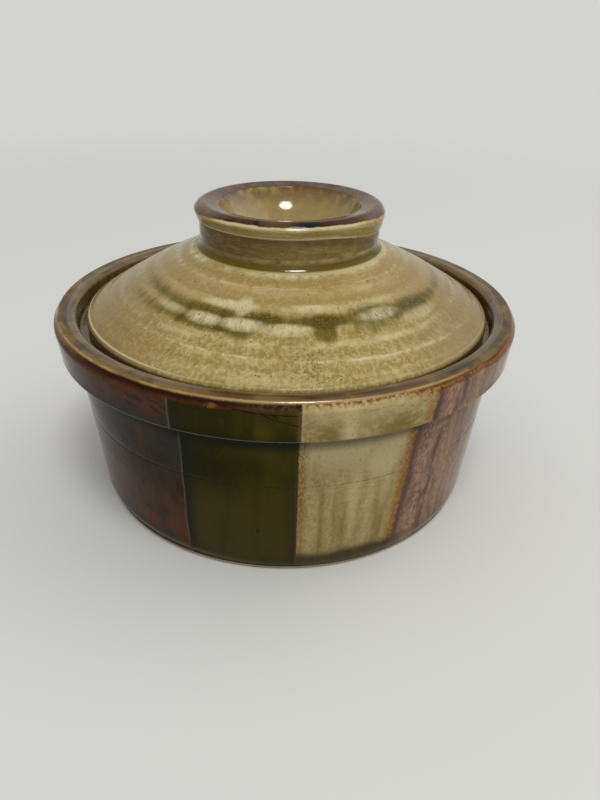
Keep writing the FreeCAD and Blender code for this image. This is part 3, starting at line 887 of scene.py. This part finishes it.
def knob_glaze():
    """Straw glaze on the side and in the cup, iron glaze on the rim, and a pool at the foot."""
    g = Finish("knob_glaze", KNOB_SHIFT)
    fine = g.cloud(0.8, detail=4)
    mottle = g.cloud(3.5, detail=3)
    bands = g.cloud(7.0, tall=0.16, detail=3)
    turned = g.cloud(2.2, tall=0.3, detail=3, shift=11)
    # Painted shade: the knob's side is darker on its left and on its right, and so is the band above the
    # step on its left.
    shaded_left = g.across.over(5, -24)
    side = g.tint(turned.over(0.40, 0.66) * 0.3 + shaded_left * 0.65, KNOB_TAN, KNOB_DARK_AND_SHADE)
    side = g.tint(g.across.over(18, 30) * 0.5, side, KNOB_DARK_AND_SHADE)
    side = g.tint(bands.over(0.50, 0.70) * 0.25 * (1 - shaded_left * 0.7), side, KNOB_CREAM)
    fall = g.angle.over(STEP_FALL_START, STEP_FALL_END) * g.angle.over(150, 90) * STEP_FALL
    above_step = g.height + fall - KNOB_STEP
    # Painted shade just under the step's ledge.
    side = g.tint(above_step.near(-1.6, 2.2) * 0.5, side, KNOB_DARK_AND_SHADE)
    grey = g.height.near(KNOB_FOOT + 2.9, 0.9) * mottle.over(0.30, 0.6) * (1 - shaded_left * 0.6)
    side = g.tint(grey * 0.4, side, KNOB_CREAM)
    blotches = g.cloud(2.8, tall=0.6, detail=4, shift=77)
    side = g.tint(blotches.over(0.52, 0.68) * 0.4, side, KNOB_DARK_AND_SHADE)
    side = g.tint(blotches.over(0.46, 0.34) * 0.2, side, KNOB_STRAW)
    side = g.tint(g.specks(1.5, 0.35, 0.22, shift=19) * 0.6, side, KNOB_DARK_AND_SHADE)
    band = g.tint(turned.over(0.42, 0.64) * 0.5, KNOB_STRAW, KNOB_TAN)
    band = g.tint(bands.over(0.54, 0.40) * 0.4, band, KNOB_CREAM)
    band = g.tint(g.mark(12, KNOB_STEP + 1.8, 14, 1.2) * 0.3, band, KNOB_TAN)
    # Painted shade on the band's left.
    band = g.tint(shaded_left * 0.55, band, KNOB_TAN)
    colour = g.tint(above_step.over(-0.40, -0.15), side, band)
    # Painted highlight: a pale line along the step's edge.
    colour = g.tint(above_step.near(0.30, 0.5) * 0.9, colour, LID_LIGHT)
    ragged = g.height + (fine - 0.5) * 0.3 + (mottle - 0.5) * 0.8 + g.deep.over(-28, -6) * 1.3
    front = g.deep.over(-18, -26)
    iron = g.tint(mottle.over(0.38, 0.62) * 0.5, KNOB_IRON, KNOB_THIN_IRON_AND_SHEEN)
    # Painted sheen: the iron rim is paler towards its left and right.
    iron = g.tint(g.across.worked("ABSOLUTE").over(14, 28) * 0.35, iron, KNOB_THIN_IRON_AND_SHEEN)
    iron = g.tint(front * 0.9, iron, g.tint(mottle.over(0.42, 0.58) * 0.7, KNOB_DARK_IRON, KNOB_IRON))
    slate = g.cloud(8, detail=3, shift=45).over(0.50, 0.60) * g.deep.over(-5, 15)
    iron = g.tint(slate * 0.8, iron, KNOB_SLATE)
    rust = fine.over(0.50, 0.66) * mottle.over(0.55, 0.42)
    iron = g.tint(rust * 0.45, iron, AMBER)
    iron = g.tint(g.mark(-8, KNOB_BAND_TOP + 1.3, 12, 2.0) * 0.6, iron, KNOB_DARK_AND_SHADE)
    iron = g.tint(g.mark(10, KNOB_BAND_TOP + 1.4, 10, 2.4), iron, BLACK_OLIVE)
    iron = g.tint(g.mark(-19.5, KNOB_BAND_TOP + 1.3, 2.6, 2.2), iron, BLACK_OLIVE)
    top_line = ragged.over(KNOB_BAND_TOP + 0.80, KNOB_BAND_TOP + 1.10)
    # A pale line at the top of the band on the front: glaze breaking thin on the edge, with a painted
    # highlight.
    colour = g.tint(ragged.near(KNOB_BAND_TOP + 0.6, 0.6) * front * 0.8, colour, LID_LIGHT)
    colour = g.tint(top_line, colour, iron)
    cup = g.tint(mottle.over(0.35, 0.65) * 0.5, CUP_TAN, KNOB_TAN)
    amber = g.height.over(KNOB_LIP - 7, KNOB_LIP - 0.5) * mottle.over(0.22, 0.55)
    cup = g.tint(amber * (g.deep.over(-5, 15) * 0.35 + 0.6), cup, CUP_AMBER)
    cup = g.tint(fine.over(0.54, 0.70) * 0.15, cup, KNOB_CREAM)
    in_cup = g.radius + (fine - 0.5) * 0.8 + (mottle - 0.5) * 1.6
    in_cup = in_cup.over(KNOB_RADIUS - 8.0, KNOB_RADIUS - 8.9)
    colour = g.tint(in_cup, colour, cup)
    lip = (g.radius + (fine - 0.5) * 0.4).near(KNOB_RADIUS - 8.5, 0.5) * g.deep.over(0, -14)
    colour = g.tint(lip * 0.7, colour, KNOB_CREAM)
    pool = (g.height + (mottle - 0.5) * 0.6).over(KNOB_FOOT + 2.2, KNOB_FOOT + 1.4)
    colour = g.tint(pool * 0.95, colour, KNOB_GREEN)
    colour = g.tint(g.radius.over(KNOB_WAIST + 1.1, KNOB_WAIST + 1.8) * pool * 0.85, colour, LID_PALE)
    specks = g.specks(2.6, 0.45, 0.35)
    colour = g.tint(specks * (1 - in_cup) * 0.7, colour, KNOB_DARK_AND_SHADE)
    relief = fine * 0.015 + turned * 0.03 * (1 - in_cup) - specks * 0.05 * (1 - in_cup)
    shoulder = above_step.near(3.3, 0.9) * front * 0.4
    wet = (pool * g.angle.near(3, 24)).worked("MAXIMUM", in_cup).worked("MAXIMUM", shoulder)
    return g.set(colour, fine * 0.06 + 0.05, relief, wet * 0.4 + 0.10)


share_out(knob, [knob_glaze()], lambda across, up: 0)
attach(knob, "lid")
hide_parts("lid_knob")

# The floor, the light and the view
# A plain pale floor that fades into a plain pale background, soft light from all round, a round
# softbox overhead for the glints and a broad soft light at the right. The view is the
# photograph's: a close look down at the front of the pot.

FLOOR_SIZE = 6.0
FLOOR_COLOUR = (0.52, 0.52, 0.50)
BACKGROUND_COLOUR = (0.66, 0.665, 0.645)
ROOM_COLOUR = (1.0, 1.0, 0.99)
ROOM_LIGHT = 0.80
LAMPS = (
    ("softbox", (0.13, -0.55, 1.25), 0.40, 8.0),
    ("side_light", (1.35, 0.40, 1.15), 1.90, 8.0),
)
EYE_DISTANCE = 0.24317
EYE_HEIGHT = 0.16104
LOOK_DOWN = 0.50894
LOOK_RIGHT = 0.02419
HEAD_TILT = 0.02241
FOCAL_LENGTH = 31.5


def seen_rays(tree):
    """1 for what the camera, a reflection or a glass sees, and 0 for the light on the pot."""
    path = tree.nodes.new("ShaderNodeLightPath")
    seen = Field(tree, path.outputs["Is Camera Ray"])
    for name in ("Is Glossy Ray", "Is Transmission Ray"):
        seen = seen.worked("MAXIMUM", Field(tree, path.outputs[name]))
    return seen


def pale_floor():
    mesh = bpy.data.meshes.new("floor")
    half = FLOOR_SIZE / 2
    corners = [(-half, -half, 0), (half, -half, 0), (half, half, 0), (-half, half, 0)]
    mesh.from_pydata(corners, [], [(0, 1, 2, 3)])
    floor = bpy.data.objects.new("floor", mesh)
    bpy.context.scene.collection.objects.link(floor)
    g = Finish("floor_paint")
    g.shader.inputs["Base Color"].default_value = (*FLOOR_COLOUR, 1)
    g.shader.inputs["Roughness"].default_value = 0.8
    g.shader.inputs["Specular IOR Level"].default_value = 0.2
    far = g.tree.nodes.new("ShaderNodeEmission")
    far.inputs[0].default_value = (*BACKGROUND_COLOUR, 1)
    blend = g.tree.nodes.new("ShaderNodeMixShader")
    feed(g.tree, blend.inputs[0], g.radius.over(280, 1000) * seen_rays(g.tree))
    g.tree.links.new(g.shader.outputs[0], blend.inputs[1])
    g.tree.links.new(far.outputs[0], blend.inputs[2])
    g.tree.links.new(blend.outputs[0], g.tree.nodes["Material Output"].inputs["Surface"])
    mesh.materials.append(g.material)
    return floor


pale_floor()

room = bpy.data.worlds.new("room")
bpy.context.scene.world = room
room.use_nodes = True
lighting = room.node_tree.nodes["Background"]
lighting.inputs[0].default_value = (*ROOM_COLOUR, 1)
lighting.inputs[1].default_value = ROOM_LIGHT
background = room.node_tree.nodes.new("ShaderNodeBackground")
background.inputs[0].default_value = (*BACKGROUND_COLOUR, 1)
either = room.node_tree.nodes.new("ShaderNodeMixShader")
feed(room.node_tree, either.inputs[0], seen_rays(room.node_tree))
room.node_tree.links.new(lighting.outputs[0], either.inputs[1])
room.node_tree.links.new(background.outputs[0], either.inputs[2])
room.node_tree.links.new(either.outputs[0], room.node_tree.nodes["World Output"].inputs["Surface"])

for lamp_name, place, size, power in LAMPS:
    light = bpy.data.lights.new(lamp_name, "AREA")
    light.shape = "DISK"
    light.size = size
    light.energy = power
    lamp = bpy.data.objects.new(lamp_name, light)
    lamp.location = place
    lamp.rotation_mode = "QUATERNION"
    lamp.rotation_quaternion = Vector(place).to_track_quat("Z", "Y")
    bpy.context.scene.collection.objects.link(lamp)

camera_data = bpy.data.cameras.new("eye")
camera_data.sensor_fit = "VERTICAL"
camera_data.sensor_height = 36.0
camera_data.sensor_width = 36.0
camera_data.lens = FOCAL_LENGTH
camera_data.clip_start = 0.01
camera_data.clip_end = 50.0
camera = bpy.data.objects.new("eye", camera_data)
bpy.context.scene.collection.objects.link(camera)
turn_right = Matrix.Rotation(-LOOK_RIGHT, 4, "Z")
look_level = Matrix.Rotation(math.pi / 2 - LOOK_DOWN, 4, "X")
tilt = Matrix.Rotation(HEAD_TILT, 4, "Z")
camera.matrix_world = Matrix.Translation((0, -EYE_DISTANCE, EYE_HEIGHT)) @ turn_right @ look_level @ tilt
bpy.context.scene.camera = camera
bpy.context.scene.view_settings.view_transform = "Standard"
